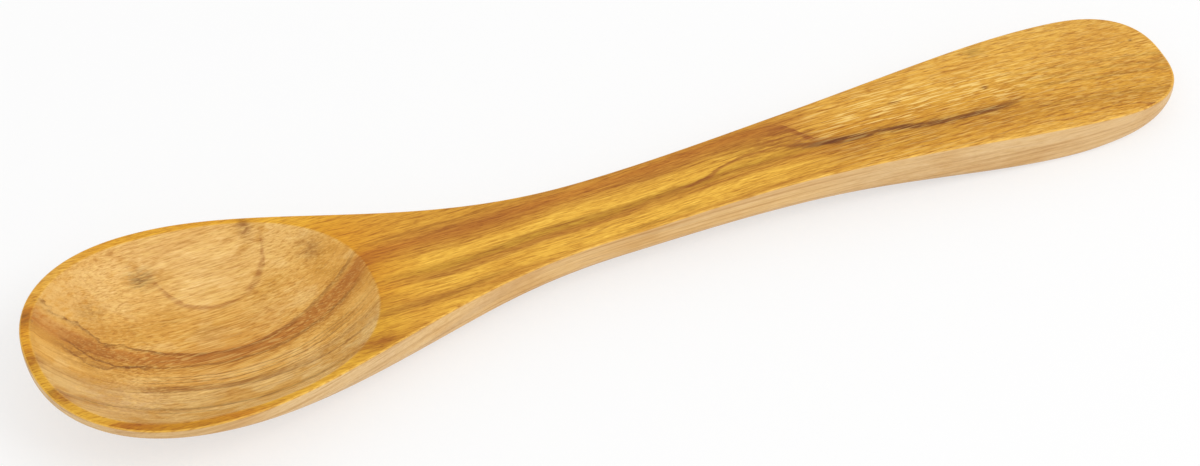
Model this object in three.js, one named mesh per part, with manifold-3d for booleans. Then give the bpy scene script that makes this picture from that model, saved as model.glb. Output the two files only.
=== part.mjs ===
// A wooden jam spoon, carved from one piece of olive wood.
// Millimetres, +Z up. The spoon lies as it does on a table: on a small flat under the bowl and on the flat
// underside of the handle's end, both at z = 0. Its long axis is X, with the bowl's tip at -X and the handle's
// end at +X, and the origin is under the middle of its length.
import * as THREE from "three";
import { mergeVertices } from "three/addons/utils/BufferGeometryUtils.js";
import Module from "manifold-3d";

// Plan outline: lengths along the spoon, added up from the bowl's tip, and widths across it.
const TIP_TO_WIDEST = 22;
const WIDEST_TO_NECK = 63;
const NECK_TO_PADDLE = 74;
const PADDLE_TO_END = 15;
const BOWL_WIDTH = 37.6;
const NECK_WIDTH = 12.4;
const PADDLE_WIDTH = 21.6;
const TIP_FULLNESS = 2.25; // exponent of the superellipse at the bowl's tip, where 2 is an ellipse
const END_FULLNESS = 2.6; // the same at the handle's end
const BOWL_FLARE = 1.2; // how late the neck opens towards the bowl, where 1 is an even curve
const PADDLE_FLARE = 1.5; // the same towards the paddle

// Side profile: heights of the upper face above the table, and thicknesses under it.
const TIP_HEIGHT = 12.3;
const NECK_HEIGHT = 7.6;
const CREST_HEIGHT = 8.3;
const END_HEIGHT = 4.5;
const NECK_TO_CREST = 28;
const NECK_THICKNESS = 5.2;
const CREST_THICKNESS = 5.9;
const FOOT_LENGTH = 19; // level underside at the handle's end
const BELLY_FLAT_CUT = 0.35; // taken off the round belly so that the bowl sits still
const WIDEST_TO_HEEL = 8; // from the widest place to where the underside starts to rise

// Edges: the upper one all round, and the one between the sides and the underside.
const TOP_EDGE_RADIUS = 0.4;
const RIM_EDGE = 1.25; // upright edge of the bowl between its upper face and its round belly
const BELLY_BULGE = 0.1; // 0 is a parabolic belly and 1 an elliptical one
const TIP_TO_SIDE = 10; // from the tip to where the belly starts to turn into the handle's upright side
const SIDE_RUN = 53; // length over which it does
const NECK_UPRIGHT = 3; // upright side of the neck, above its lower rounding
const NECK_ROUND_REACH = 2.7; // how far that rounding reaches under the neck
const PADDLE_ROUND = 1.2; // radius of the same rounding at the paddle's sides
const END_UPRIGHT = 0.9; // upright edge of the handle's very end, above a rounding that undercuts it
const END_ROUND_REACH = 3; // how far that rounding reaches under the end

// Hollow of the bowl.
const RIM_WIDTH = 1.4; // upper face left round the hollow at the tip and the sides
const WIDEST_TO_HOLLOW_END = 27.1;
const HOLLOW_END_FULLNESS = 2.3; // exponent of the superellipse at the hollow's handle end
const HOLLOW_FLOOR = 3.4; // wood left under the deepest place
const SCOOP_LIFT = 15; // height of the scoop's centre above the rim: more makes gentler walls
const SCOOP_CLEAR = 1.08; // the scoop runs on past the rim to this many times the hollow's outline

// Fineness of the mesh.
const TIP_STEPS = 9;
const WAIST_STEPS = 17;
const HANDLE_STEPS = 14;
const END_STEPS = 8;
const ACROSS_STEPS = 20;
const SCOOP_RINGS = 10;
const SCOOP_SIDES = 64;
const END_GAP = 0.012; // left between each end and the ring next to it, as a share of a quarter turn

const NECK_AT = TIP_TO_WIDEST + WIDEST_TO_NECK;
const PADDLE_AT = NECK_AT + NECK_TO_PADDLE;
const LENGTH = PADDLE_AT + PADDLE_TO_END;
const CREST_AT = NECK_AT + NECK_TO_CREST;
const FOOT_AT = LENGTH - FOOT_LENGTH;
const HEEL_AT = TIP_TO_WIDEST + WIDEST_TO_HEEL;

const { clamp, lerp, smoothstep } = THREE.MathUtils;

// Height of a unit superellipse at a share of its half length.
function endArc(share, fullness) {
  return Math.max(0, 1 - share ** fullness) ** (1 / fullness);
}

// Half width of the outline at x, measured from the bowl's tip.
function halfWidth(x) {
  if (x < TIP_TO_WIDEST) return endArc((TIP_TO_WIDEST - x) / TIP_TO_WIDEST, TIP_FULLNESS) * (BOWL_WIDTH / 2);
  if (x > PADDLE_AT) return endArc((x - PADDLE_AT) / PADDLE_TO_END, END_FULLNESS) * (PADDLE_WIDTH / 2);
  const towardsBowl = x < NECK_AT;
  const share = towardsBowl ? (NECK_AT - x) / WIDEST_TO_NECK : (x - NECK_AT) / NECK_TO_PADDLE;
  const opened = smoothstep(share ** (towardsBowl ? BOWL_FLARE : PADDLE_FLARE), 0, 1);
  return lerp(NECK_WIDTH, towardsBowl ? BOWL_WIDTH : PADDLE_WIDTH, opened) / 2;
}

function superNorm(along, across, fullness) {
  return Math.min(1, (along ** fullness + across ** fullness) ** (1 / fullness));
}

// How far (x, y) lies towards the outline: 0 on the spine and 1 on the outline, also round the two ends.
function edgeShare(x, y) {
  const across = Math.abs(y);
  if (x < TIP_TO_WIDEST) {
    return superNorm((TIP_TO_WIDEST - x) / TIP_TO_WIDEST, across / (BOWL_WIDTH / 2), TIP_FULLNESS);
  }
  if (x > PADDLE_AT) {
    return superNorm((x - PADDLE_AT) / PADDLE_TO_END, across / (PADDLE_WIDTH / 2), END_FULLNESS);
  }
  return Math.min(1, across / halfWidth(x));
}

// Height of the upper face on the spine: the rim rises to the tip, and the handle is a low arch.
function topHeight(x) {
  if (x < NECK_AT) return NECK_HEIGHT + (TIP_HEIGHT - NECK_HEIGHT) * ((NECK_AT - x) / NECK_AT) ** 2;
  if (x < CREST_AT) return lerp(NECK_HEIGHT, CREST_HEIGHT, smoothstep(x, NECK_AT, CREST_AT));
  return CREST_HEIGHT - (CREST_HEIGHT - END_HEIGHT) * ((x - CREST_AT) / (LENGTH - CREST_AT)) ** 2;
}

// Height of the underside on the spine, before the belly's flat is cut.
function underHeight(x) {
  const neck = NECK_HEIGHT - NECK_THICKNESS;
  const crest = CREST_HEIGHT - CREST_THICKNESS;
  if (x < NECK_AT) return lerp(-BELLY_FLAT_CUT, neck, smoothstep(x, HEEL_AT, NECK_AT));
  if (x < CREST_AT) return lerp(neck, crest, smoothstep(x, NECK_AT, CREST_AT));
  return lerp(crest, 0, smoothstep(x, CREST_AT, FOOT_AT));
}

// The rounding between the sides and the underside at x: its share of the half width, its height and its
// bulge. It takes up the whole belly of the bowl, is only an edge along the paddle, and undercuts the handle's
// very end.
function underRound(x) {
  const neckShare = NECK_ROUND_REACH / (NECK_WIDTH / 2);
  const neckRise = topHeight(x) - NECK_UPRIGHT - underHeight(x);
  if (x < NECK_AT) {
    const bowlRise = topHeight(x) - RIM_EDGE - underHeight(x);
    const turned = smoothstep(x, TIP_TO_SIDE, TIP_TO_SIDE + SIDE_RUN);
    return {
      share: lerp(1, neckShare, turned),
      rise: lerp(bowlRise, neckRise, turned),
      bulge: lerp(BELLY_BULGE, 1, turned),
    };
  }
  const squared = smoothstep(x, NECK_AT, PADDLE_AT);
  const ended = smoothstep(x, FOOT_AT, LENGTH);
  const paddleShare = PADDLE_ROUND / (PADDLE_WIDTH / 2);
  const endShare = END_ROUND_REACH / PADDLE_TO_END;
  const endRise = topHeight(x) - END_UPRIGHT - underHeight(x);
  return {
    share: lerp(lerp(neckShare, paddleShare, squared), endShare, ended),
    rise: lerp(lerp(neckRise, PADDLE_ROUND, squared), endRise, ended),
    bulge: 1,
  };
}

// How much of a rounding's height is used up at a share of the way across it.
function roundDrop(share, bulge) {
  const inside = clamp(share, 0, 1);
  return lerp(inside ** 2, 1 - Math.sqrt(1 - inside ** 2), bulge);
}

function topPoint(x, y) {
  const share = TOP_EDGE_RADIUS / halfWidth(clamp(x, TIP_TO_WIDEST, PADDLE_AT));
  const drop = roundDrop((edgeShare(x, y) - (1 - share)) / share, 1);
  return new THREE.Vector3(x, y, topHeight(x) - TOP_EDGE_RADIUS * drop);
}

function underPoint(x, y) {
  const { share, rise, bulge } = underRound(x);
  const drop = roundDrop((edgeShare(x, y) - (1 - share)) / share, bulge);
  return new THREE.Vector3(x, y, Math.max(0, underHeight(x) + rise * drop));
}

// Places along the spoon where a section is taken, closest together at the two round ends.
function stations() {
  const places = [];
  for (let i = 0; i < TIP_STEPS; i++) {
    const turn = lerp(END_GAP, 1, i / TIP_STEPS) * (Math.PI / 2);
    places.push(TIP_TO_WIDEST * (1 - Math.cos(turn)));
  }
  for (let i = 0; i < WAIST_STEPS; i++) places.push(lerp(TIP_TO_WIDEST, NECK_AT, i / WAIST_STEPS));
  for (let i = 0; i < HANDLE_STEPS; i++) places.push(lerp(NECK_AT, PADDLE_AT, i / HANDLE_STEPS));
  for (let i = 0; i <= END_STEPS; i++) {
    const turn = lerp(0, 1 - END_GAP, i / END_STEPS) * (Math.PI / 2);
    places.push(PADDLE_AT + PADDLE_TO_END * Math.sin(turn));
  }
  return places;
}

// One closed ring round the spoon at x: over the upper face from +Y to -Y, then back along the underside.
function section(x) {
  const ring = [];
  const half = halfWidth(x);
  const across = (i) => half * Math.cos((i / ACROSS_STEPS) * Math.PI);
  for (let i = 0; i <= ACROSS_STEPS; i++) ring.push(topPoint(x, across(i)));
  for (let i = ACROSS_STEPS; i >= 0; i--) ring.push(underPoint(x, across(i)));
  return ring;
}

// A closed skin over rings of equally many points, with a tip beyond the first ring and beyond the last.
function skinRings(rings, firstTip, lastTip) {
  const count = rings[0].length;
  const firstIndex = rings.length * count;
  const lastRing = firstIndex - count;
  const triangles = [];
  for (let j = 0; j < count; j++) {
    const next = (j + 1) % count;
    for (let start = 0; start < lastRing; start += count) {
      const [a, b] = [start + j, start + next];
      triangles.push(a, b, a + count, b, b + count, a + count);
    }
    triangles.push(firstIndex, next, j);
    triangles.push(firstIndex + 1, lastRing + j, lastRing + next);
  }
  const skin = new THREE.BufferGeometry().setFromPoints([...rings.flat(), firstTip, lastTip]);
  return skin.setIndex(triangles);
}

function blankGeometry() {
  const middle = (x) => topPoint(x, 0).lerp(underPoint(x, 0), 0.5);
  return skinRings(stations().map(section), middle(0), middle(LENGTH));
}

// A point of the hollow's outline at a turn about its deepest place, which lies under the widest place. The
// tip's side of it follows the bowl's outline at the width of the rim.
function hollowOutline(turn) {
  const along = Math.cos(turn);
  const across = Math.sin(turn);
  const reach = along < 0 ? TIP_TO_WIDEST - RIM_WIDTH : WIDEST_TO_HOLLOW_END;
  const power = 2 / (along < 0 ? TIP_FULLNESS : HOLLOW_END_FULLNESS);
  const half = BOWL_WIDTH / 2 - RIM_WIDTH;
  return new THREE.Vector2(Math.sign(along) * reach * Math.abs(along) ** power,
    Math.sign(across) * half * Math.abs(across) ** power);
}

// The scoop that hollows the bowl: ring by ring from its deepest place to just above the rim.
function scoopGeometry() {
  const depth = topHeight(TIP_TO_WIDEST) - HOLLOW_FLOOR;
  const down = SCOOP_LIFT + depth;
  const spread = Math.sqrt(1 - (SCOOP_LIFT / down) ** 2);
  const depthAt = (share) => down * Math.sqrt(1 - (share * spread) ** 2) - SCOOP_LIFT;
  const point = (share, turn) => {
    const { x, y } = hollowOutline(turn).multiplyScalar(share);
    return new THREE.Vector3(TIP_TO_WIDEST + x, y, topHeight(TIP_TO_WIDEST + x) - depthAt(share));
  };
  const rings = [];
  for (let i = 1; i <= SCOOP_RINGS; i++) {
    const share = SCOOP_CLEAR * (i / SCOOP_RINGS);
    const ring = [];
    for (let j = 0; j < SCOOP_SIDES; j++) ring.push(point(share, (j / SCOOP_SIDES) * 2 * Math.PI));
    rings.push(ring);
  }
  const above = new THREE.Vector3(TIP_TO_WIDEST, 0, TIP_HEIGHT + SCOOP_LIFT);
  return skinRings(rings, point(0, 0), above);
}

const wasm = await Module();
wasm.setup();

// A closed geometry as a solid that can be cut.
function solidOf(geometry) {
  const merged = mergeVertices(geometry, 1e-4);
  const triVerts = [];
  for (let i = 0; i < merged.index.count; i += 3) {
    const [a, b, c] = [merged.index.getX(i), merged.index.getX(i + 1), merged.index.getX(i + 2)];
    if (a !== b && b !== c && c !== a) triVerts.push(a, b, c);
  }
  const vertProperties = merged.getAttribute("position").array;
  return new wasm.Manifold(new wasm.Mesh({ numProp: 3, vertProperties, triVerts: new Uint32Array(triVerts) }));
}

function geometryOf(solid) {
  const mesh = solid.getMesh();
  return new THREE.BufferGeometry()
    .setAttribute("position", new THREE.BufferAttribute(mesh.vertProperties, mesh.numProp))
    .setIndex(new THREE.BufferAttribute(mesh.triVerts, 1));
}

const oliveWood = new THREE.MeshStandardMaterial({ color: 0xd2a04c, roughness: 0.5, metalness: 0 });

const carved = solidOf(blankGeometry()).subtract(solidOf(scoopGeometry()));
const spoon = new THREE.Mesh(geometryOf(carved), oliveWood);
spoon.name = "jam_spoon";
spoon.position.x = -LENGTH / 2;

const part = new THREE.Group();
part.add(spoon);

export default part;
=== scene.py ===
"""The looks of the wooden jam spoon: a fine sanded surface, figured olive wood, and a plain studio."""
import math
from collections import namedtuple

import bpy
import numpy as np
from mathutils import Matrix, Vector


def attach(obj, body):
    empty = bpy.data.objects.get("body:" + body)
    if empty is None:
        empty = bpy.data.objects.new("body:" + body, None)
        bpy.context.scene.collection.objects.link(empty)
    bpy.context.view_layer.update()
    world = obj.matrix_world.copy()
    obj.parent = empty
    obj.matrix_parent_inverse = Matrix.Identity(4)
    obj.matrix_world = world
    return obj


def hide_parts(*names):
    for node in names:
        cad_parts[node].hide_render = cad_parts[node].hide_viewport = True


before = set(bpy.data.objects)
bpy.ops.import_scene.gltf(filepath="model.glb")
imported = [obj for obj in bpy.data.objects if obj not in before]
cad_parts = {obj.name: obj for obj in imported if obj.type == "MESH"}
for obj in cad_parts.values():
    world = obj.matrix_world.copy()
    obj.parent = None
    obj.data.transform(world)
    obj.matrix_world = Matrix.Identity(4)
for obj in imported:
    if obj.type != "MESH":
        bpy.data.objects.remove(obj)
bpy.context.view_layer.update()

MM = 0.001

# The carved shape, in millimetres from the bowl's tip, as the solid has it.
TIP_TO_WIDEST = 22.0
WIDEST_TO_NECK = 63.0
NECK_TO_PADDLE = 74.0
PADDLE_TO_END = 15.0
BOWL_WIDTH = 37.6
NECK_WIDTH = 12.4
PADDLE_WIDTH = 21.6
TIP_FULLNESS = 2.25
END_FULLNESS = 2.6
BOWL_FLARE = 1.2
PADDLE_FLARE = 1.5
TIP_HEIGHT = 12.3
NECK_HEIGHT = 7.6
CREST_HEIGHT = 8.3
END_HEIGHT = 4.5
NECK_TO_CREST = 28.0
NECK_THICKNESS = 5.2
CREST_THICKNESS = 5.9
FOOT_LENGTH = 19.0
BELLY_FLAT_CUT = 0.35
WIDEST_TO_HEEL = 8.0
TOP_EDGE_RADIUS = 0.4
RIM_EDGE = 1.25
BELLY_BULGE = 0.1
TIP_TO_SIDE = 10.0
SIDE_RUN = 53.0
NECK_UPRIGHT = 3.0
NECK_ROUND_REACH = 2.7
PADDLE_ROUND = 1.2
END_UPRIGHT = 0.9
END_ROUND_REACH = 3.0
RIM_WIDTH = 1.4
WIDEST_TO_HOLLOW_END = 27.1
HOLLOW_END_FULLNESS = 2.3
HOLLOW_FLOOR = 3.4
SCOOP_LIFT = 15.0
CREASE_SOFTNESS = 0.3

NECK_AT = TIP_TO_WIDEST + WIDEST_TO_NECK
PADDLE_AT = NECK_AT + NECK_TO_PADDLE
LENGTH = PADDLE_AT + PADDLE_TO_END
CREST_AT = NECK_AT + NECK_TO_CREST
FOOT_AT = LENGTH - FOOT_LENGTH
HEEL_AT = TIP_TO_WIDEST + WIDEST_TO_HEEL

# Fineness of the mesh. The end gap keeps the first and the last ring off the tips, as a share of a quarter
# turn, and the least half width keeps a division from 0.
TIP_STEPS = 40
HOLLOW_STEPS = 130
WAIST_STEPS = 60
HANDLE_STEPS = 90
END_STEPS = 40
UPPER_STEPS = 180
UNDER_STEPS = 90
END_GAP = 0.004
LEAST_HALF_WIDTH = 1e-9


def blend(a, b, share):
    return a + (b - a) * share


def smoothstep(x, low, high):
    t = np.clip((x - low) / (high - low), 0, 1)
    return t * t * (3 - 2 * t)


def super_norm(along, across, fullness):
    """Distance from the middle of a rounded end, where 1 is on its outline."""
    return (np.clip(along, 0, None) ** fullness + np.abs(across) ** fullness) ** (1 / fullness)


def end_arc(share, fullness):
    """Half width of a rounded end: 1 where it starts and 0 at its tip."""
    return np.clip(1 - np.clip(share, 0, 1) ** fullness, 0, 1) ** (1 / fullness)


def half_width(x):
    """Half width of the outline at x."""
    tip = end_arc((TIP_TO_WIDEST - x) / TIP_TO_WIDEST, TIP_FULLNESS) * BOWL_WIDTH / 2
    end = end_arc((x - PADDLE_AT) / PADDLE_TO_END, END_FULLNESS) * PADDLE_WIDTH / 2
    to_bowl = smoothstep(np.clip((NECK_AT - x) / WIDEST_TO_NECK, 0, 1) ** BOWL_FLARE, 0, 1)
    to_paddle = smoothstep(np.clip((x - NECK_AT) / NECK_TO_PADDLE, 0, 1) ** PADDLE_FLARE, 0, 1)
    waist = blend(NECK_WIDTH, BOWL_WIDTH, to_bowl) / 2
    handle = blend(NECK_WIDTH, PADDLE_WIDTH, to_paddle) / 2
    return np.select([x < TIP_TO_WIDEST, x < NECK_AT, x < PADDLE_AT], [tip, waist, handle], end)


def edge_share(x, y):
    """0 on the spine and 1 on the outline, also round the two ends."""
    tip = super_norm((TIP_TO_WIDEST - x) / TIP_TO_WIDEST, y / (BOWL_WIDTH / 2), TIP_FULLNESS)
    end = super_norm((x - PADDLE_AT) / PADDLE_TO_END, y / (PADDLE_WIDTH / 2), END_FULLNESS)
    side = np.abs(y) / np.maximum(half_width(x), LEAST_HALF_WIDTH)
    return np.minimum(1, np.select([x < TIP_TO_WIDEST, x < PADDLE_AT], [tip, side], end))


def top_height(x):
    """Height of the upper face: a rim that falls to the neck, and a handle that arches over a crest."""
    rim = NECK_HEIGHT + (TIP_HEIGHT - NECK_HEIGHT) * ((NECK_AT - x) / NECK_AT) ** 2
    rise = blend(NECK_HEIGHT, CREST_HEIGHT, smoothstep(x, NECK_AT, CREST_AT))
    fall = CREST_HEIGHT - (CREST_HEIGHT - END_HEIGHT) * ((x - CREST_AT) / (LENGTH - CREST_AT)) ** 2
    return np.select([x < NECK_AT, x < CREST_AT], [rim, rise], fall)


def under_height(x):
    """Height of the underside on the spine."""
    neck = NECK_HEIGHT - NECK_THICKNESS
    crest = CREST_HEIGHT - CREST_THICKNESS
    belly = blend(-BELLY_FLAT_CUT, neck, smoothstep(x, HEEL_AT, NECK_AT))
    rise = blend(neck, crest, smoothstep(x, NECK_AT, CREST_AT))
    fall = blend(crest, 0, smoothstep(x, CREST_AT, FOOT_AT))
    return np.select([x < NECK_AT, x < CREST_AT], [belly, rise], fall)


def round_drop(share, bulge):
    """A rounded fall from 0 to 1, between a parabola at bulge 0 and a quarter circle at bulge 1."""
    inside = np.clip(share, 0, 1)
    return blend(inside ** 2, 1 - np.sqrt(1 - inside ** 2), bulge)


def soft_min(a, b, softness):
    """The lower of two heights, with the crease between them rounded."""
    near = np.clip(softness - np.abs(a - b), 0, None) / softness
    return np.minimum(a, b) - near * near * softness / 4


def hollow_share(x, y):
    """0 over the hollow's deepest place and 1 on its outline."""
    half = BOWL_WIDTH / 2 - RIM_WIDTH
    tip = super_norm((TIP_TO_WIDEST - x) / (TIP_TO_WIDEST - RIM_WIDTH), y / half, TIP_FULLNESS)
    heel = super_norm((x - TIP_TO_WIDEST) / WIDEST_TO_HOLLOW_END, y / half, HOLLOW_END_FULLNESS)
    return np.where(x < TIP_TO_WIDEST, tip, heel)


def upper_z(x, y):
    """The upper face with its rounded edge, and the hollow scooped out of it."""
    share = TOP_EDGE_RADIUS / half_width(np.clip(x, TIP_TO_WIDEST, PADDLE_AT))
    face = top_height(x) - TOP_EDGE_RADIUS * round_drop((edge_share(x, y) - (1 - share)) / share, 1)
    down = SCOOP_LIFT + top_height(TIP_TO_WIDEST) - HOLLOW_FLOOR
    spread = math.sqrt(1 - (SCOOP_LIFT / down) ** 2)
    reach = np.minimum(hollow_share(x, y) * spread, 1)
    hollow = top_height(x) + SCOOP_LIFT - down * np.sqrt(1 - reach ** 2)
    return soft_min(face, hollow, CREASE_SOFTNESS)


def under_z(x, y):
    """The underside: a round belly that turns into the handle's upright side and flat foot."""
    neck_share = NECK_ROUND_REACH / (NECK_WIDTH / 2)
    paddle_share = PADDLE_ROUND / (PADDLE_WIDTH / 2)
    end_share = END_ROUND_REACH / PADDLE_TO_END
    low = under_height(x)
    bowl_rise = top_height(x) - RIM_EDGE - low
    neck_rise = top_height(x) - NECK_UPRIGHT - low
    end_rise = top_height(x) - END_UPRIGHT - low
    turned = smoothstep(x, TIP_TO_SIDE, TIP_TO_SIDE + SIDE_RUN)
    squared = smoothstep(x, NECK_AT, PADDLE_AT)
    ended = smoothstep(x, FOOT_AT, LENGTH)
    handle_share = blend(blend(neck_share, paddle_share, squared), end_share, ended)
    handle_rise = blend(blend(neck_rise, PADDLE_ROUND, squared), end_rise, ended)
    share = np.where(x < NECK_AT, blend(1, neck_share, turned), handle_share)
    rise = np.where(x < NECK_AT, blend(bowl_rise, neck_rise, turned), handle_rise)
    bulge = np.where(x < NECK_AT, blend(BELLY_BULGE, 1, turned), 1)
    return np.maximum(0, low + rise * round_drop((edge_share(x, y) - (1 - share)) / share, bulge))


def stations():
    """Places of the rings along the spoon, closer together at both ends and over the hollow."""
    quarter = np.pi / 2
    tip = TIP_TO_WIDEST * (1 - np.cos(np.linspace(END_GAP, 1, TIP_STEPS, endpoint=False) * quarter))
    hollow_end = TIP_TO_WIDEST + WIDEST_TO_HOLLOW_END + RIM_WIDTH
    bowl = np.linspace(TIP_TO_WIDEST, hollow_end, HOLLOW_STEPS, endpoint=False)
    waist = np.linspace(hollow_end, NECK_AT, WAIST_STEPS, endpoint=False)
    handle = np.linspace(NECK_AT, PADDLE_AT, HANDLE_STEPS, endpoint=False)
    end = PADDLE_AT + PADDLE_TO_END * np.sin(np.linspace(0, 1 - END_GAP, END_STEPS) * quarter)
    return np.concatenate([tip, bowl, waist, handle, end])


def spoon_mesh():
    """Closed rings round the spoon, from the tip to the handle's end, each over the top and back under."""
    x = stations()[:, None]
    half = half_width(x)
    upper_y = half * np.cos(np.linspace(0, np.pi, UPPER_STEPS + 1))[None]
    under_y = half * np.cos(np.linspace(np.pi, 0, UNDER_STEPS + 1))[None]
    upper = np.stack([x + 0 * upper_y, upper_y, upper_z(x, upper_y)], -1)
    under = np.stack([x + 0 * under_y, under_y, under_z(x, under_y)], -1)
    rings = np.concatenate([upper, under], 1)
    rows, count = rings.shape[:2]
    points = (rings.reshape(-1, 3) - [LENGTH / 2, 0, 0]) * MM
    starts = np.arange(rows - 1)[:, None] * count
    a = starts + np.arange(count)[None]
    b = starts + (np.arange(count) + 1)[None] % count
    quads = np.stack([a, b, b + count, a + count], -1).reshape(-1, 4).tolist()
    caps = [list(range(count))[::-1], list(range((rows - 1) * count, rows * count))]
    mesh = bpy.data.meshes.new("jam_spoon_carved")
    mesh.from_pydata(points.tolist(), [], quads + caps)
    mesh.polygons.foreach_set("use_smooth", [True] * len(mesh.polygons))
    mesh.update()
    return mesh


def screen(red, green, blue):
    """A colour as it looks on screen, 0 to 255, in linear light, by the usual screen curve."""
    shares = [value / 255 for value in (red, green, blue)]
    return tuple(s / 12.92 if s <= 0.04045 else ((s + 0.055) / 1.055) ** 2.4 for s in shares) + (1.0,)


class Graph:
    """A material's nodes, with one short call for each kind of node."""

    def __init__(self, material):
        material.use_nodes = True
        self.tree = material.node_tree
        self.surface = self.tree.nodes["Principled BSDF"]

    def feed(self, socket, value):
        if isinstance(value, bpy.types.NodeSocket):
            self.tree.links.new(value, socket)
        else:
            socket.default_value = value

    def node(self, kind, inputs, **settings):
        made = self.tree.nodes.new(kind)
        for name, value in settings.items():
            setattr(made, name, value)
        for place, value in inputs.items():
            self.feed(made.inputs[place], value)
        return made

    def math(self, operation, a, b=0.0):
        return self.node("ShaderNodeMath", {0: a, 1: b}, operation=operation).outputs[0]

    def vector_math(self, operation, inputs):
        return self.node("ShaderNodeVectorMath", inputs, operation=operation).outputs[0]

    def add(self, a, b):
        return self.math("ADD", a, b)

    def sub(self, a, b):
        return self.math("SUBTRACT", a, b)

    def mul(self, a, b):
        return self.math("MULTIPLY", a, b)

    def ease(self, value, low, high):
        """0 at low, 1 at high, a smooth change between them and no change beyond them."""
        inputs = {0: value, 1: low, 2: high, 3: 0.0, 4: 1.0}
        return self.node("ShaderNodeMapRange", inputs, interpolation_type="SMOOTHSTEP").outputs[0]

    def remap(self, value, low, high, to_low, to_high):
        """A straight change from to_low at low to to_high at high."""
        inputs = {0: value, 1: low, 2: high, 3: to_low, 4: to_high}
        return self.node("ShaderNodeMapRange", inputs).outputs[0]

    def span(self, value, start, full, fading, gone):
        """1 from full to fading, and 0 before start and after gone."""
        return self.mul(self.ease(value, start, full), self.ease(value, gone, fading))

    def flip(self, share):
        """What a share leaves of 1."""
        return self.sub(1.0, share)

    def larger(self, a, b):
        return self.math("MAXIMUM", a, b)

    def parts(self, vector):
        return self.node("ShaderNodeSeparateXYZ", {0: vector}).outputs

    def noise(self, waves, places):
        """Noise between 0 and 1 over three measures of a place, with so many waves to a millimetre of each."""
        counted = [self.mul(place, count) for place, count in zip(places, waves[:3])]
        vector = self.node("ShaderNodeCombineXYZ", dict(enumerate(counted))).outputs[0]
        inputs = {"Vector": vector, "Scale": 1.0, "Detail": waves.detail, "Roughness": waves.roughness}
        return self.node("ShaderNodeTexNoise", inputs).outputs[0]

    def curve(self, value, points, low, high):
        """A smooth curve through points of (millimetres along the spoon, height between low and high)."""
        made = self.node("ShaderNodeFloatCurve", {1: self.mul(value, 1 / LENGTH)})
        line = made.mapping.curves[0]
        places = [(along / LENGTH, (height - low) / (high - low)) for along, height in points]
        line.points[0].location = places[0]
        line.points[1].location = places[-1]
        for place in places[1:-1]:
            line.points.new(*place)
        made.mapping.update()
        return self.remap(made.outputs[0], 0.0, 1.0, low, high)

    def ramp(self, value, stops):
        """Colours at shares from 0 to 1, blended between them."""
        made = self.node("ShaderNodeValToRGB", {0: value})
        band = made.color_ramp.elements
        band[0].position, band[0].color = stops[0]
        band[1].position, band[1].color = stops[-1]
        for place, colour in stops[1:-1]:
            band.new(place).color = colour
        return made.outputs[0]

    def mix(self, share, a, b, way="MIX"):
        inputs = {0: share, 6: a, 7: b}
        return self.node("ShaderNodeMix", inputs, data_type="RGBA", blend_type=way).outputs[2]


# Olive wood. Its growth layers are sheets that run along the spoon and lean 45 degrees towards its front,
# so one number, the layer, tells how deep a place lies in the tree. Tones are written as they look on screen.
# This pale milk tone is painted sheen, for patches on the hollow's back wall.
PAINTED_SHEEN_MILK = screen(252, 214, 150)
CREAM = screen(238, 193, 122)
STRAW = screen(231, 180, 100)
HONEY = screen(226, 170, 84)
GOLD = screen(219, 160, 66)
SUN = screen(238, 184, 85)
AMBER = screen(206, 146, 62)
OCHRE = screen(208, 150, 60)
CHESTNUT = screen(198, 129, 50)
OLIVE = screen(200, 148, 52)
TAN = screen(228, 186, 120)
ROSE = screen(208, 164, 116)
DRAB = screen(206, 158, 90)
DARK_GRAIN = screen(130, 76, 22)
RED_GRAIN = screen(162, 92, 34)
BROWN_GRAIN = screen(150, 92, 32)
OLIVE_GRAIN = screen(166, 110, 26)
GREY_GRAIN = screen(146, 112, 62)
# This pale tone gives the wood's pale flecks, and also painted sheen in the hollow.
PALE_GRAIN_AND_SHEEN = screen(255, 216, 126)
# The side tan is partly the wood's own tone and partly painted light: paler, as if lit by the white floor.
SIDE_TAN_AND_FLOOR_LIGHT = screen(230, 196, 144)
# A painted highlight in gold along the upper edges.
PAINTED_EDGE_HIGHLIGHT = screen(246, 194, 82)
OILED_TINT = screen(255, 250, 186)
RIM_TINT = screen(250, 232, 140)
HOLLOW_TINT = screen(255, 252, 226)
LINE_TINT = screen(196, 160, 106)
FIBRE_TINT = screen(206, 178, 132)
BLOTCH_TINT = screen(226, 200, 146)

# This one multiplies linear light, and so brightens what it lies on.
LIGHT_TINT = (1.28, 1.5, 2.1, 1.0)

# The layers' heights in millimetres, and the tones at them in the bowl, the neck and the paddle.
LAYER_LOW = -10.0
LAYER_HIGH = 30.0
BOW_LIMIT = 2.0
LAYER_BOW = [(0, 0.0), (12, -1.5), (35, 1.0), (60, 0.5), (90, -0.7), (120, 0.0), (LENGTH, 0.3)]
BOWL_LAYERS = [(-9, STRAW), (-7, CREAM), (-4, STRAW), (-1, HONEY), (3.0, HONEY), (3.8, CHESTNUT),
               (5.4, CHESTNUT), (6.2, AMBER), (6.8, AMBER), (7.8, HONEY), (9, STRAW), (11, HONEY),
               (12.6, DRAB), (14.4, TAN), (18.2, TAN), (19.6, DRAB), (21.2, TAN), (26.5, TAN),
               (28.2, AMBER), (29.6, OLIVE)]
NECK_LAYERS = [(-4, GOLD), (1.0, GOLD), (2.4, AMBER), (3.8, CHESTNUT), (5.4, AMBER), (7.0, SUN),
               (8.2, SUN), (9.4, OLIVE), (10.4, AMBER), (11.6, SUN), (13.2, SUN), (14.6, AMBER),
               (16.6, SUN), (19, GOLD), (20.6, AMBER)]
PADDLE_LAYERS = [(-5, STRAW), (0, HONEY), (4, HONEY), (7, GOLD), (9, GOLD), (11.5, OCHRE), (13, OCHRE),
                 (14.5, GOLD), (16.5, HONEY), (19, GOLD)]

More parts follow.
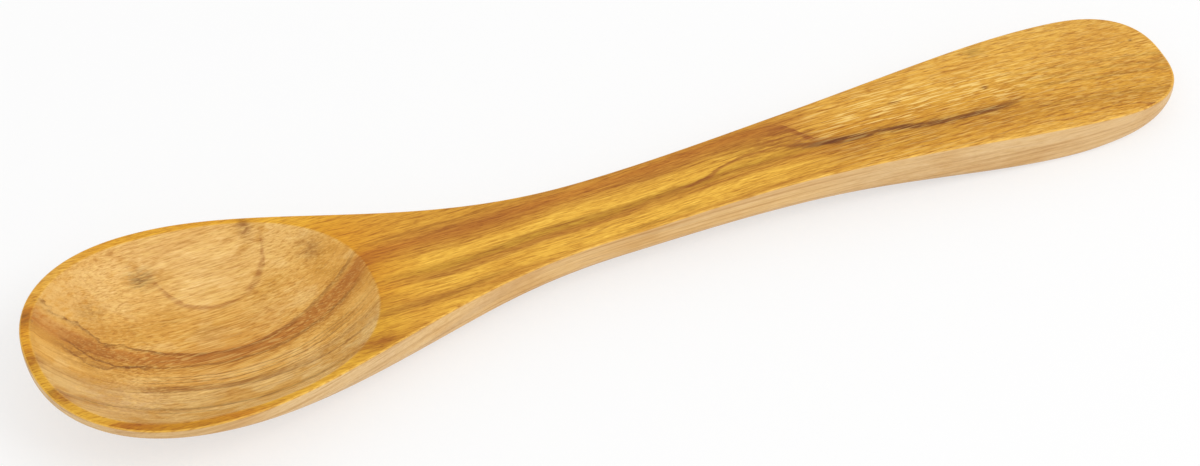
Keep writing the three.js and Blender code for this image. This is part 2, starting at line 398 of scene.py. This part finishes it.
# A streak is a thin sheet of another tone. Its path is (along, layer) or one level layer. It is soft by so
# many millimetres on its back and on its front, and its reach is where along the spoon it starts, is full,
# fades and is gone.
Streak = namedtuple("Streak", "path width back front reach strength tone")
BAND_EDGE = [(0, 4.0), (5, 2.4), (10, 2.4), (11.2, 3.3), (13, 2.8), (17, 3.0), (19, 3.5), (26, 3.8),
             (35, 3.7), (40, 3.2), (46, 2.6), (LENGTH, 2.6)]
BAND_HEART = [(0, 5.2), (8, 4.6), (12, 5.0), (20, 4.6), (35, 4.4), (LENGTH, 4.4)]
BAND_FOOT = [(0, 7.2), (6, 7.0), (9, 8.4), (12, 7.4), (16, 6.6), (30, 6.3), (LENGTH, 6.4)]
BAND_SWIRL = [(0, 5.0), (7, 5.6), (9.5, 6.6), (13, 6.9), (17, 5.9), (LENGTH, 5.9)]
WALL_LINE = [(0, 12.6), (10, 13.0), (20, 12.8), (30, 13.6), (40, 14.6), (LENGTH, 15.3)]
WALL_BAND = [(0, 11.4), (15, 12.0), (20, 11.8), (30, 12.8), (40, 13.4), (LENGTH, 13.6)]
LOW_LINE = [(0, 19.6), (8, 18.6), (13, 18.5), (17, 19.2), (22, 20.2), (27, 20.6), (33, 20.2),
            (LENGTH, 19.5)]
LOWEST_LINE = [(0, 20.6), (14, 20.8), (19, 21.6), (23, 23.0), (26, 24.2), (LENGTH, 24.4)]
HORSESHOE = [(0, -8.0), (19.5, -6.4), (21.5, -4.6), (24, -3.6), (27, -3.3), (31, -3.5), (35, -4.6),
             (37, -5.8), (38, -7.0), (LENGTH, -8.0)]
NECK_FRONT = [(0, 15.6), (46, 15.3), (58, 14.8), (66, 13.8), (LENGTH, 13.6)]
RED_BAND = [(0, 3.5), (60, 3.6), (67, 3.8), (75, 4.0), (85, 4.6), (95, 5.0), (105, 4.6), (LENGTH, 4.4)]
OLIVE_BAND = [(0, 10.4), (50, 10.4), (58, 10.2), (64, 9.3), (70, 8.7), (75, 8.5), (85, 8.8),
              (LENGTH, 9.2)]
OLIVE_FOOT = [(0, 11.2), (58, 11.2), (66, 11.0), (72, 10.7), (83, 10.5), (92, 9.8), (100, 9.6),
              (107, 9.8), (LENGTH, 9.6)]
BACK_LINE = [(0, 2.2), (50, 2.3), (62, 1.6), (74, 1.9), (LENGTH, 2.0)]
NECK_LINE = [(0, 12.4), (78, 12.3), (82, 11.8), (88, 11.4), (LENGTH, 11.4)]
FRONT_LINE = [(0, 13.2), (85, 13.4), (91, 13.2), (LENGTH, 13.7)]
WEDGE_FOOT = [(0, 9.4), (96, 9.3), (100, 8.9), (103, 8.0), (106, 7.6), (111, 7.7), (115, 8.3),
              (LENGTH, 8.6)]
WEDGE_EDGE = [(0, 3.6), (112, 3.8), (114, 4.6), (115.5, 6.4), (117.5, 8.2), (120, 8.9), (LENGTH, 9.6)]
DARK_LINE = [(0, 7.6), (108, 7.8), (114, 8.5), (118, 9.1), (122, 9.5), (128, 9.9), (132, 10.5),
             (136, 10.8), (140, 10.6), (145, 10.2), (150, 9.6), (LENGTH, 9.6)]
SHORT_LINE = [(0, 10.8), (117, 10.9), (123, 11.7), (LENGTH, 11.7)]
END_LINE = [(0, 15.9), (140, 15.9), (146, 15.1), (156, 15.0), (160, 14.1), (165, 14.4), (LENGTH, 15.0)]
STREAKS = [
    Streak(BAND_EDGE, 0.05, 0.15, 0.8, (3, 6, 46, 50), 0.5, DARK_GRAIN),
    Streak(BAND_EDGE, 0.06, 0.15, 0.3, (3, 6, 17, 22), 0.5, DARK_GRAIN),
    Streak(BAND_HEART, 0.4, 0.6, 1.2, (4, 8, 46, 56), 0.25, BROWN_GRAIN),
    Streak(BAND_FOOT, 0.08, 0.5, 0.15, (4, 7, 44, 50), 0.55, DARK_GRAIN),
    Streak(BAND_SWIRL, 0.08, 0.2, 0.3, (5, 8, 14, 18), 0.75, DARK_GRAIN),
    Streak(WALL_BAND, 0.4, 0.5, 0.7, (9, 16, 30, 42), 0.35, BROWN_GRAIN),
    Streak(WALL_LINE, 0.06, 0.5, 0.2, (8, 16, 42, 50), 0.5, DARK_GRAIN),
    Streak(NECK_FRONT, 0.2, 0.9, 0.3, (44, 49, 64, 70), 0.45, OLIVE_GRAIN),
    Streak(LOW_LINE, 0.2, 0.5, 0.5, (-5, -2, 36, 46), 0.5, GREY_GRAIN),
    Streak(LOWEST_LINE, 0.08, 0.3, 0.3, (11, 15, 24, 28), 0.4, GREY_GRAIN),
    Streak(HORSESHOE, 0.08, 0.2, 0.6, (20, 23, 30, 34), 0.6, RED_GRAIN),
    Streak(HORSESHOE, 0.15, 0.5, 0.6, (32, 34, 37, 38), 0.5, RED_GRAIN),
    Streak(RED_BAND, 0.5, 1.0, 1.0, (54, 63, 69, 78), 0.3, RED_GRAIN),
    Streak(RED_BAND, 0.4, 1.0, 1.2, (84, 93, 104, 114), 0.28, RED_GRAIN),
    Streak(OLIVE_BAND, 0.06, 0.15, 1.7, (50, 58, 94, 104), 0.3, OLIVE_GRAIN),
    Streak(OLIVE_FOOT, 0.08, 0.7, 0.15, (52, 58, 108, 116), 0.38, RED_GRAIN),
    Streak(BACK_LINE, 0.06, 0.3, 0.3, (48, 52, 72, 80), 0.4, OLIVE_GRAIN),
    Streak(NECK_LINE, 0.04, 0.2, 0.2, (74, 79, 86, 92), 0.4, RED_GRAIN),
    Streak(FRONT_LINE, 0.1, 0.3, 0.5, (82, 87, 94, 99), 0.5, OLIVE_GRAIN),
    Streak(WEDGE_FOOT, 0.08, 0.3, 0.5, (94, 98, 114, 118), 0.75, RED_GRAIN),
    Streak(WEDGE_EDGE, 0.3, 0.25, 1.2, (110, 113, 119, 123), 0.85, RED_GRAIN),
    Streak(DARK_LINE, 0.4, 1.2, 1.0, (110, 118, 142, 152), 0.55, OLIVE_GRAIN),
    Streak(DARK_LINE, 0.26, 0.4, 0.4, (110, 118, 143, 151), 1.0, DARK_GRAIN),
    Streak(SHORT_LINE, 0.05, 0.2, 0.2, (114, 117, 122, 126), 0.4, RED_GRAIN),
    Streak(END_LINE, 0.05, 0.2, 0.25, (138, 142, 168, 172), 0.5, RED_GRAIN),
]

# Fine level lines, as (layer, strength), on the bowl's front wall and at the handle's end.
WALL_LAYERS = [(8.7, 0.4), (9.4, 0.35), (10.2, 0.6), (11.4, 0.4), (12.0, 0.4), (16.4, 0.25)]
WALL_REACH = (10, 17, 42, 50)
END_LAYERS = [(4.2, 0.3), (5.9, 0.3), (7.4, 0.35), (11.6, 0.2)]
END_REACH = (144, 156, 180, 190)
LEVEL_STREAKS = [Streak(at, 0.04, 0.17, 0.17, WALL_REACH, strength, DARK_GRAIN)
                 for at, strength in WALL_LAYERS]
LEVEL_STREAKS += [Streak(at, 0.08, 0.5, 0.5, END_REACH, strength, GREY_GRAIN)
                  for at, strength in END_LAYERS]

# Patches, as balls in the wood: the middle (along, across, up), the reach each way, the strength and the
# tone. The pale ones on the hollow's left end and back wall are painted sheen. Specks are small ones with a
# clean edge.
PATCHES = [
    ((0.7, 0.0, 12.3), (2.0, 3.0, 4.0), 0.6, RED_GRAIN),
    ((2.2, 7.9, 12.0), (2.4, 3.0, 4.0), 0.7, DARK_GRAIN),
    ((2.8, -7.6, 12.0), (2.4, 3.0, 4.0), 0.8, RED_GRAIN),
    ((10.0, -15.8, 11.5), (6.0, 2.2, 4.0), 0.7, RED_GRAIN),
    # Painted sheen on the hollow's back-left end.
    ((9.0, 11.0, 9.0), (12.0, 8.0, 9.0), 0.9, CREAM),
    ((9.0, -8.0, 8.0), (13.0, 9.0, 9.0), 0.7, ROSE),
    ((16.0, 5.6, 4.4), (11.0, 4.0, 5.0), 0.6, OCHRE),
    # Painted sheen on the hollow's back wall, in this patch and the next two.
    ((22.0, 12.5, 6.0), (15.0, 8.0, 9.0), 0.35, CREAM),
    ((28.5, 9.8, 6.0), (8.0, 4.0, 6.0), 0.5, PAINTED_SHEEN_MILK),
    ((20.0, 15.0, 9.0), (8.0, 3.0, 6.0), 0.5, PAINTED_SHEEN_MILK),
    ((27.0, 4.0, 4.0), (12.0, 3.6, 5.0), 0.6, GOLD),
    ((35.0, 3.4, 4.6), (9.0, 4.5, 6.0), 0.6, CREAM),
    ((8.5, 2.6, 8.0), (7.0, 4.0, 6.0), 0.6, BROWN_GRAIN),
    ((11.0, 9.5, 6.0), (3.6, 2.2, 5.0), 0.7, OLIVE_GRAIN),
    ((19.5, 13.0, 6.0), (3.4, 2.4, 5.0), 0.85, GREY_GRAIN),
    ((26.0, 2.8, 4.0), (4.5, 2.2, 4.0), 0.4, OLIVE_GRAIN),
    ((35.6, 15.2, 9.5), (1.6, 2.6, 6.0), 0.9, BROWN_GRAIN),
    ((43.0, 8.9, 8.6), (3.2, 3.2, 5.0), 0.75, BROWN_GRAIN),
    ((45.5, -12.2, 9.0), (4.5, 2.2, 4.0), 0.7, RED_GRAIN),
    ((108.0, 1.6, 8.3), (11.0, 4.0, 6.0), 0.4, OLIVE_GRAIN),
    ((111.0, 2.8, 8.3), (6.5, 3.4, 6.0), 0.7, RED_GRAIN),
    ((115.5, 0.9, 8.3), (4.0, 2.4, 5.0), 0.9, RED_GRAIN),
    ((146.5, 8.4, 7.0), (3.5, 1.6, 3.0), 0.5, GREY_GRAIN),
    ((160.0, 2.0, 6.0), (22.0, 10.0, 9.0), 0.4, STRAW),
]
SPECKS = [
    ((130.7, 2.9, 7.9), (1.6, 0.6, 2.0), 0.6, DARK_GRAIN),
    ((144.7, 1.1, 7.2), (0.9, 0.7, 2.0), 0.8, DARK_GRAIN),
    ((170.5, 3.7, 4.9), (0.6, 0.4, 1.0), 0.9, DARK_GRAIN),
]

# Noise, as waves to a millimetre along the spoon, across it and up, or across the layers for the fine lines.
Waves = namedtuple("Waves", "along across up detail roughness", defaults=(2.0, 0.5))
SWAY = Waves(0.045, 0.09, 0.09)
WAVER = Waves(0.16, 0.5, 0.5, 4.0, 0.6)
FRAY = Waves(0.4, 0.8, 0.8)
BREAKS = Waves(0.25, 1.5, 1.5, 3.0, 0.6)
RAGS = Waves(0.4, 1.4, 1.4, 3.0, 0.6)
CLOUDS = Waves(0.13, 0.22, 0.22, 3.0, 0.55)
LINES = Waves(0.05, 2.2, 0.1, 3.0, 0.65)
SIDE_LINES = Waves(0.025, 0.15, 2.6, 3.0, 0.65)
SIDE_BANDS = Waves(0.012, 0.2, 0.7)
FIBRES = Waves(0.2, 4.2, 4.2, 3.0, 0.6)
PORES = Waves(0.8, 6.5, 6.5, 1.0)
BLOTCHES = Waves(0.07, 0.2, 0.2, 3.0)
FLECKS = Waves(0.2, 4.4, 4.4, 1.0)

# How far the layers swing and fray, in millimetres. They fray most at the bowl's tip.
SWAY_SWING = 1.4
WAVER_SWING = 0.9
TIP_FRAY = 1.7
LATER_FRAY = 0.45
FRAY_CHANGES = (12.0, 20.0)

# A tint starts to show at one value of a noise and is full at another. So do streaks and patches.
Tint = namedtuple("Tint", "start full strength tone")
PALE_CLOUDS = Tint(0.52, 0.62, 0.75, CREAM)
GOLDEN_CLOUDS = Tint(0.48, 0.38, 0.7, OCHRE)
DARK_LINES = Tint(0.5, 0.68, 0.45, LINE_TINT)
LIGHT_LINES = Tint(0.48, 0.3, 0.3, LIGHT_TINT)
DARK_SIDE_LINES = Tint(0.45, 0.7, 0.6, FIBRE_TINT)
DARK_FIBRES = Tint(0.5, 0.66, 0.65, FIBRE_TINT)
LIGHT_FIBRES = Tint(0.5, 0.3, 0.35, LIGHT_TINT)
DARK_PORES = Tint(0.5, 0.75, 0.55, FIBRE_TINT)
LIGHT_PORES = Tint(0.5, 0.25, 0.35, LIGHT_TINT)
DARK_BLOTCHES = Tint(0.45, 0.7, 0.38, BLOTCH_TINT)
DARK_SIDE_BANDS = Tint(0.46, 0.62, 0.15, BLOTCH_TINT)
# Pale flecks of the wood on the paddle, and painted sheen in the hollow.
PALE_FLECKS_AND_SHEEN = Tint(0.53, 0.64, 1.0, PALE_GRAIN_AND_SHEEN)
STREAKS_WHOLE = (0.2, 0.5)
PATCHES_WHOLE = (0.3, 0.6)

# Where one look turns into the next: along the spoon, by layer, and by how far a face turns up or endways.
BOWL_INTO_NECK = (44, 58)
NECK_INTO_PADDLE = (108, 124)
RIM_INTO_NECK = (46, 60)
PADDLE_STARTS = (112, 126)
HOLLOW_BLUR = 0.02
BAND_LAYERS = (2.0, 3.6, 6.5, 9.0)
LINED_ALONG = (42, 54)
LINED_LAYERS = (2, 6)
FLECKED_LAYERS = (1, 3.5, 7.5, 9.5)
FLECKS_START = (112, 124)
FLECKS_FADE = (165, 138)
UPPER_FACING = (0.3, 0.75)
# The upper edges' painted highlight lies between these facings.
EDGE_HIGHLIGHT_FACING = (0.35, 0.7, 0.85, 0.97)
END_FACING = (0.2, 0.6)
# A painted highlight on the bowl's back-left rim, as a ball: its middle and its reach in millimetres.
RIM_HIGHLIGHT_MIDDLE = (8, 13, 12)
RIM_HIGHLIGHT_REACH = (11, 9, 9)

# How strong a look is, as a share. A loss is the share that goes.
FAINTEST_LINES = 0.3
PADDLE_LINE_LOSS = 0.1
SIDE_LINE_LOSS = 0.75
SIDE_FIBRE_LOSS = 0.75
END_FIBRE_LOSS = 0.8
PADDLE_FIBRES = 1.1
HOLLOW_FIBRE_LOSS = 0.15
FEWEST_FLECKS = 0.25
MOST_FLECKS = 0.75
# The hollow's pale flecks are painted sheen.
HOLLOW_PAINTED_SHEEN = 0.35
HOLLOW_TINT_SHARE = 0.7
# How much of the rim's deeper tint the painted rim highlight takes away.
RIM_HIGHLIGHT_SHARE = 0.8
HANDLE_SIDE_TAN = 0.7
PADDLE_SIDE_TAN = 0.85
EDGE_HIGHLIGHT_SHARE = 0.6

# The surface's sheen and its fine relief.
FIBRE_RELIEF = 0.6
PORE_RELIEF = 0.4
RELIEF_RANGE = (0.3, 0.7)
ROUGHNESS_RANGE = (0.42, 0.58)
SPECULAR_LEVEL = 0.3
BUMP_STRENGTH = 0.25
BUMP_DEPTH = 0.06 * MM


class Wood(Graph):
    """A material whose places are known in millimetres from the bowl's tip, by growth layer and by face."""

    def __init__(self, material):
        super().__init__(material)
        coords = self.node("ShaderNodeTexCoord", {}).outputs
        in_millimetres = self.vector_math("SCALE", {0: coords["Object"], 3: 1 / MM})
        self.place = self.vector_math("ADD", {0: in_millimetres, 1: (LENGTH / 2, 0.0, 0.0)})
        self.along, self.y, self.z = self.parts(self.place)
        facing = self.parts(coords["Normal"])
        self.facing_up = facing[2]
        self.end_grain = self.ease(self.math("ABSOLUTE", facing[0]), *END_FACING)
        self.lay_layers()
        self.tell_faces()

    def lay_layers(self):
        """The growth layers, and the same layers with frayed edges for the streaks."""
        bow = self.curve(self.along, LAYER_BOW, -BOW_LIMIT, BOW_LIMIT)
        swing = self.add(self.swung(SWAY, SWAY_SWING), self.swung(WAVER, WAVER_SWING))
        self.layer = self.add(self.sub(self.sub(self.z, self.y), bow), swing)
        fray = self.remap(self.ease(self.along, *FRAY_CHANGES), 0.0, 1.0, TIP_FRAY, LATER_FRAY)
        self.frayed = self.add(self.layer, self.swung(FRAY, fray))

    def tell_faces(self):
        """Shares that are 1 in the hollow, on the sides, on oiled upper faces, on the rim or on the edges'
        painted highlight.
        """
        outside = self.outside_hollow()
        upper = self.ease(self.facing_up, *UPPER_FACING)
        self.inside = self.flip(outside)
        self.side = self.mul(self.flip(upper), outside)
        self.oiled = self.mul(upper, outside)
        # A painted highlight on the bowl's back-left rim: the rim's deeper tint is left off there.
        painted_rim_highlight = self.mul(self.ball(RIM_HIGHLIGHT_MIDDLE, RIM_HIGHLIGHT_REACH), RIM_HIGHLIGHT_SHARE)
        before_neck = self.flip(self.ease(self.along, *RIM_INTO_NECK))
        self.on_rim = self.mul(self.mul(self.oiled, before_neck), self.flip(painted_rim_highlight))
        # A painted highlight along the upper edges.
        self.edge_highlight = self.mul(self.span(self.facing_up, *EDGE_HIGHLIGHT_FACING), outside)

    def grain_noise(self, waves):
        """Noise in the solid wood."""
        return self.noise(waves, (self.along, self.y, self.z))

    def swung(self, waves, swing):
        """Noise about 0, with the given swing."""
        return self.mul(self.sub(self.grain_noise(waves), 0.5), swing)

    def ball(self, middle, reach):
        """1 at a place in the wood, falling to 0 at the given distances from it."""
        away = self.vector_math("SUBTRACT", {0: self.place, 1: middle})
        shares = self.vector_math("DIVIDE", {0: away, 1: reach})
        distance = self.node("ShaderNodeVectorMath", {0: shares}, operation="LENGTH").outputs["Value"]
        return self.ease(distance, 1.0, 0.0)

    def sheet(self, path, width, back, front):
        """1 in a sheet along a path, or in one layer, fading on its back and on its front."""
        middle = self.curve(self.along, path, LAYER_LOW, LAYER_HIGH) if isinstance(path, list) else path
        off = self.sub(self.frayed, middle)
        return self.span(off, -width - back, -width, width, width + front)

    def by_layer(self, rows):
        """The tones of the layers, blended from row to row."""
        share = self.remap(self.layer, LAYER_LOW, LAYER_HIGH, 0.0, 1.0)
        return self.ramp(share, [((at - LAYER_LOW) / (LAYER_HIGH - LAYER_LOW), tone) for at, tone in rows])

    def outside_hollow(self):
        """0 in the hollow, and 1 beyond its outline and on the underside."""
        from_widest = self.sub(self.along, TIP_TO_WIDEST)
        tipward = self.math("LESS_THAN", from_widest, 0.0)
        reach = self.remap(tipward, 0.0, 1.0, WIDEST_TO_HOLLOW_END, TIP_TO_WIDEST - RIM_WIDTH)
        power = self.remap(tipward, 0.0, 1.0, HOLLOW_END_FULLNESS, TIP_FULLNESS)
        lengthwise = self.math("ABSOLUTE", self.math("DIVIDE", from_widest, reach))
        crosswise = self.math("ABSOLUTE", self.mul(self.y, 1 / (BOWL_WIDTH / 2 - RIM_WIDTH)))
        norm = self.add(self.math("POWER", lengthwise, power), self.math("POWER", crosswise, power))
        beyond = self.ease(norm, 1 - HOLLOW_BLUR, 1 + HOLLOW_BLUR)
        return self.larger(beyond, self.math("LESS_THAN", self.facing_up, 0.0))

    def tinted(self, colour, texture, tint, where, way):
        """The colour with a tint over it, as a noise and a place allow."""
        share = self.mul(self.ease(texture, tint.start, tint.full), self.mul(where, tint.strength))
        return self.mix(share, colour, tint.tone, way)


def figured(wood):
    """The broad bands of the bowl, the neck and the paddle, which run into each other."""
    bowl, neck, paddle = [wood.by_layer(rows) for rows in (BOWL_LAYERS, NECK_LAYERS, PADDLE_LAYERS)]
    colour = wood.mix(wood.ease(wood.along, *BOWL_INTO_NECK), bowl, neck)
    return wood.mix(wood.ease(wood.along, *NECK_INTO_PADDLE), colour, paddle)


def mottled(wood, colour):
    """Soft pale and golden clouds in the hollow, but not over its dark band."""
    cloud = wood.grain_noise(CLOUDS)
    off_band = wood.mul(wood.inside, wood.flip(wood.span(wood.layer, *BAND_LAYERS)))
    colour = wood.tinted(colour, cloud, PALE_CLOUDS, off_band, "MIX")
    return wood.tinted(colour, cloud, GOLDEN_CLOUDS, off_band, "MIX")


def streaked(wood, colour):
    """The streaks, each broken here and there."""
    broken = wood.ease(wood.grain_noise(BREAKS), *STREAKS_WHOLE)
    for path, width, back, front, reach, strength, tone in LEVEL_STREAKS + STREAKS:
        place = wood.mul(wood.sheet(path, width, back, front), wood.span(wood.along, *reach))
        colour = wood.mix(wood.mul(wood.mul(place, strength), broken), colour, tone)
    return colour


def patched(wood, colour):
    """The patches, with ragged edges, some of them painted sheen, and the specks."""
    ragged = wood.ease(wood.grain_noise(RAGS), *PATCHES_WHOLE)
    for middle, reach, strength, tone in PATCHES:
        colour = wood.mix(wood.mul(wood.mul(wood.ball(middle, reach), ragged), strength), colour, tone)
    for middle, reach, strength, tone in SPECKS:
        colour = wood.mix(wood.mul(wood.ball(middle, reach), strength), colour, tone)
    return colour


def faced(wood, colour):
    """A lightly tinted hollow, deep oiled upper faces, a deeper rim, tan sides and a painted edge highlight.
    """
    colour = wood.mix(wood.mul(wood.inside, HOLLOW_TINT_SHARE), colour, HOLLOW_TINT, "MULTIPLY")
    colour = wood.mix(wood.oiled, colour, OILED_TINT, "MULTIPLY")
    colour = wood.mix(wood.on_rim, colour, RIM_TINT, "MULTIPLY")
    # The tan sides are partly painted light from the white floor.
    tan = wood.remap(wood.along, *PADDLE_STARTS, HANDLE_SIDE_TAN, PADDLE_SIDE_TAN)
    colour = wood.mix(wood.mul(wood.side, tan), colour, SIDE_TAN_AND_FLOOR_LIGHT)
    # A painted highlight along the upper edges.
    return wood.mix(wood.mul(wood.edge_highlight, EDGE_HIGHLIGHT_SHARE), colour, PAINTED_EDGE_HIGHLIGHT)


def lined_places(wood):
    """Where the fine lines show: faintest on the bowl's back, on the sides and on the rim."""
    figure = wood.larger(wood.ease(wood.along, *LINED_ALONG), wood.ease(wood.layer, *LINED_LAYERS))
    paddle_loss = wood.mul(wood.ease(wood.along, *PADDLE_STARTS), PADDLE_LINE_LOSS)
    lined = wood.sub(wood.remap(figure, 0.0, 1.0, FAINTEST_LINES, 1.0), paddle_loss)
    return wood.mul(lined, wood.flip(wood.mul(wood.larger(wood.side, wood.on_rim), SIDE_LINE_LOSS)))


def fibrous_places(wood):
    """Where fibres and pores show: least on the sides and on end grain, most on the paddle."""
    loss = wood.larger(wood.mul(wood.side, SIDE_FIBRE_LOSS), wood.mul(wood.end_grain, END_FIBRE_LOSS))
    along = wood.remap(wood.along, *PADDLE_STARTS, 1.0, PADDLE_FIBRES)
    return wood.mul(wood.flip(loss), wood.sub(along, wood.mul(wood.inside, HOLLOW_FIBRE_LOSS)))


def flecks_and_sheen_places(wood):
    """Where pale flecks show: on the paddle, most of all above its dark line, and as painted sheen in the
    hollow.
    """
    above_line = wood.mul(wood.span(wood.layer, *FLECKED_LAYERS), wood.ease(wood.along, *FLECKS_FADE))
    share = wood.remap(above_line, 0.0, 1.0, FEWEST_FLECKS, MOST_FLECKS)
    on_paddle = wood.mul(wood.ease(wood.along, *FLECKS_START), share)
    return wood.larger(on_paddle, wood.mul(wood.inside, HOLLOW_PAINTED_SHEEN))


def grained(wood, colour):
    """Fine lines, fibres, pores, blotches, flecks and painted sheen. Returns the colour and the relief for the
    bump.
    """
    lines = wood.noise(LINES, (wood.along, wood.layer, wood.z))
    fibre = wood.grain_noise(FIBRES)
    pore = wood.grain_noise(PORES)
    lined = lined_places(wood)
    fibrous = fibrous_places(wood)
    for texture, tint, where in [(lines, DARK_LINES, lined),
                                 (lines, LIGHT_LINES, lined),
                                 (wood.grain_noise(SIDE_LINES), DARK_SIDE_LINES, wood.side),
                                 (fibre, DARK_FIBRES, fibrous),
                                 (fibre, LIGHT_FIBRES, fibrous),
                                 (pore, DARK_PORES, fibrous),
                                 (pore, LIGHT_PORES, fibrous),
                                 (wood.grain_noise(BLOTCHES), DARK_BLOTCHES, 1.0),
                                 (wood.grain_noise(SIDE_BANDS), DARK_SIDE_BANDS, wood.side)]:
        colour = wood.tinted(colour, texture, tint, where, "MULTIPLY")
    # Pale flecks on the paddle, and painted sheen in the hollow.
    flecks_and_sheen = wood.mul(flecks_and_sheen_places(wood), fibrous)
    colour = wood.tinted(colour, wood.grain_noise(FLECKS), PALE_FLECKS_AND_SHEEN, flecks_and_sheen, "MIX")
    return colour, wood.add(wood.mul(fibre, FIBRE_RELIEF), wood.mul(pore, PORE_RELIEF))


def olive_wood():
    """Oiled olive wood, with its figure running through the solid."""
    material = bpy.data.materials.new("olive_wood")
    wood = Wood(material)
    colour = mottled(wood, figured(wood))
    colour = patched(wood, streaked(wood, colour))
    colour, relief = grained(wood, faced(wood, colour))
    bump = wood.node("ShaderNodeBump", {"Strength": BUMP_STRENGTH, "Distance": BUMP_DEPTH, "Height": relief})
    surface = wood.surface.inputs
    wood.feed(surface["Base Color"], colour)
    wood.feed(surface["Roughness"], wood.remap(relief, *RELIEF_RANGE, *ROUGHNESS_RANGE))
    wood.feed(surface["Specular IOR Level"], SPECULAR_LEVEL)
    wood.feed(surface["Normal"], bump.outputs[0])
    return material


spoon = bpy.data.objects.new("carved_spoon", spoon_mesh())
bpy.context.scene.collection.objects.link(spoon)
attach(spoon, "root")
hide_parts("jam_spoon")
spoon.data.materials.append(olive_wood())

# The stage: a pale floor that the camera sees mixed with white, so its shadow is faint, a white world and a
# lamp. Its sizes are in metres.
FLOOR_HALF = 3.0
FLOOR_GREY = (0.97, 0.97, 0.97, 1.0)
FLOOR_ROUGHNESS = 0.9
FLOOR_WHITENESS = 0.6
WHITE = (1.0, 1.0, 1.0, 1.0)
WORLD_STRENGTH = 0.8
KEY_PLACE = Vector((0.5, -0.5, 0.85))
KEY_TARGET = Vector((0.0, 0.0, 0.0))
KEY_SIZE = 0.6
KEY_POWER = 3.4


def pale_floor():
    """A pale floor that keeps its shadow, and looks partly white to the camera and in reflections."""
    material = bpy.data.materials.new("pale_floor")
    g = Graph(material)
    g.feed(g.surface.inputs["Base Color"], FLOOR_GREY)
    g.feed(g.surface.inputs["Roughness"], FLOOR_ROUGHNESS)
    path = g.node("ShaderNodeLightPath", {}).outputs
    seen = g.larger(path["Is Camera Ray"], path["Is Glossy Ray"])
    seen = g.larger(seen, path["Is Transmission Ray"])
    white = g.node("ShaderNodeEmission", {"Color": WHITE, "Strength": 1.0})
    shares = {0: g.mul(seen, FLOOR_WHITENESS), 1: g.surface.outputs[0], 2: white.outputs[0]}
    mixed = g.node("ShaderNodeMixShader", shares)
    g.feed(g.tree.nodes["Material Output"].inputs["Surface"], mixed.outputs[0])
    return material


corners = [(-FLOOR_HALF, -FLOOR_HALF, 0), (FLOOR_HALF, -FLOOR_HALF, 0), (FLOOR_HALF, FLOOR_HALF, 0),
           (-FLOOR_HALF, FLOOR_HALF, 0)]
floor_mesh = bpy.data.meshes.new("floor")
floor_mesh.from_pydata(corners, [], [(0, 1, 2, 3)])
floor_mesh.materials.append(pale_floor())
floor = bpy.data.objects.new("floor", floor_mesh)
bpy.context.scene.collection.objects.link(floor)

world = bpy.data.worlds.new("studio")
bpy.context.scene.world = world
world.use_nodes = True
background = world.node_tree.nodes["Background"].inputs
background["Color"].default_value = WHITE
background["Strength"].default_value = WORLD_STRENGTH

lamp = bpy.data.lights.new("key", "AREA")
lamp.size = KEY_SIZE
lamp.energy = KEY_POWER
key = bpy.data.objects.new("key", lamp)
key.location = KEY_PLACE
key.rotation_euler = (KEY_TARGET - KEY_PLACE).to_track_quat("-Z", "Y").to_euler()
bpy.context.scene.collection.objects.link(key)

# Camera, at the photograph's viewing angle.
CAMERA_ELEVATION = math.radians(47.0)
CAMERA_AZIMUTH = math.radians(23.07)
CAMERA_ROLL = math.radians(0.2)
CAMERA_TARGET = Vector((-2.69, 2.35, 0.0)) * MM
CAMERA_DISTANCE = 500.6 * MM
CAMERA_LENS = 105.0
CAMERA_SENSOR = 36.0

forward = Vector((math.sin(CAMERA_AZIMUTH) * math.cos(CAMERA_ELEVATION),
                  math.cos(CAMERA_AZIMUTH) * math.cos(CAMERA_ELEVATION),
                  -math.sin(CAMERA_ELEVATION)))
right = Vector((math.cos(CAMERA_AZIMUTH), -math.sin(CAMERA_AZIMUTH), 0))
up = right.cross(forward)
camera_data = bpy.data.cameras.new("camera")
camera_data.lens = CAMERA_LENS
camera_data.sensor_width = CAMERA_SENSOR
camera = bpy.data.objects.new("camera", camera_data)
turned_right = right * math.cos(CAMERA_ROLL) + up * math.sin(CAMERA_ROLL)
turned_up = up * math.cos(CAMERA_ROLL) - right * math.sin(CAMERA_ROLL)
axes = Matrix((turned_right, turned_up, -forward)).transposed()
camera.matrix_world = Matrix.Translation(CAMERA_TARGET - forward * CAMERA_DISTANCE) @ axes.to_4x4()
bpy.context.scene.collection.objects.link(camera)
bpy.context.scene.camera = camera
bpy.context.scene.view_settings.view_transform = "Standard"
